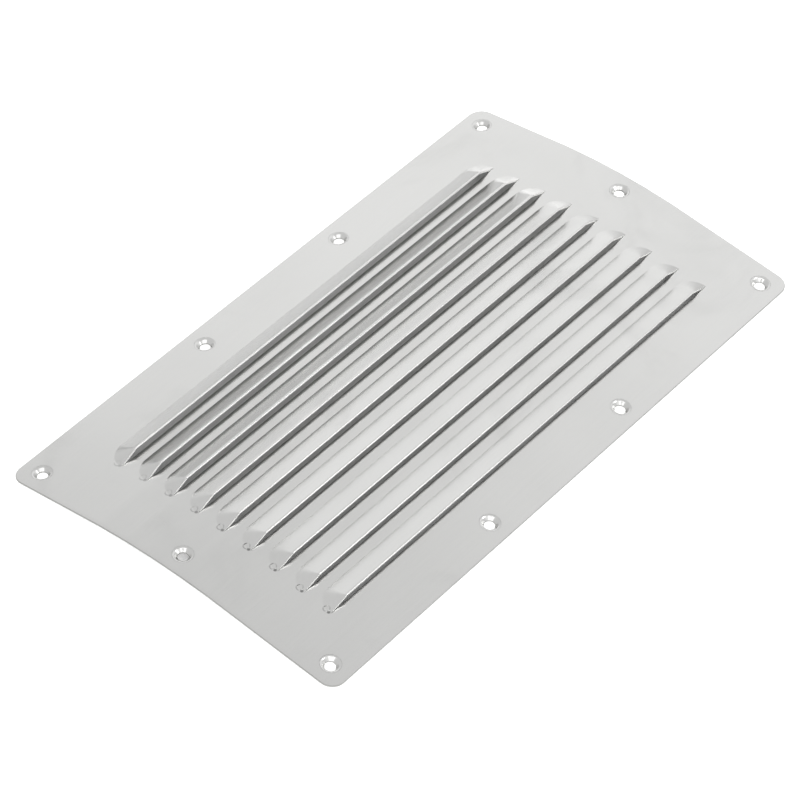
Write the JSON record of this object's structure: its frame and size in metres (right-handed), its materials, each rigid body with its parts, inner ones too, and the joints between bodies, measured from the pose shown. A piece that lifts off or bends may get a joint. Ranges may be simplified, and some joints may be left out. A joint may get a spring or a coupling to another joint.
{
  "type": "louvred sheet metal panel",
  "caption": "Rectangular pressed steel sheet with parallel raised louvres, each closed at its ends, and dimpled screw holes along its edges, for venting a housing or a wall opening.",
  "frame": {"origin": "middle of the panel's footprint, at its lowest points, the undersides of the dimples in its long edges", "axes": "+X along the louvres, -Y towards the side that the louvres open to, +Z the side that they are raised to"},
  "size_m": [0.35, 0.199, 0.0147],
  "materials": {
    "stainless_sheet": "satin, as rolled"
  },
  "bodies": {
    "root": {"louvred_panel": "stainless_sheet"}
  },
  "joints": []
}
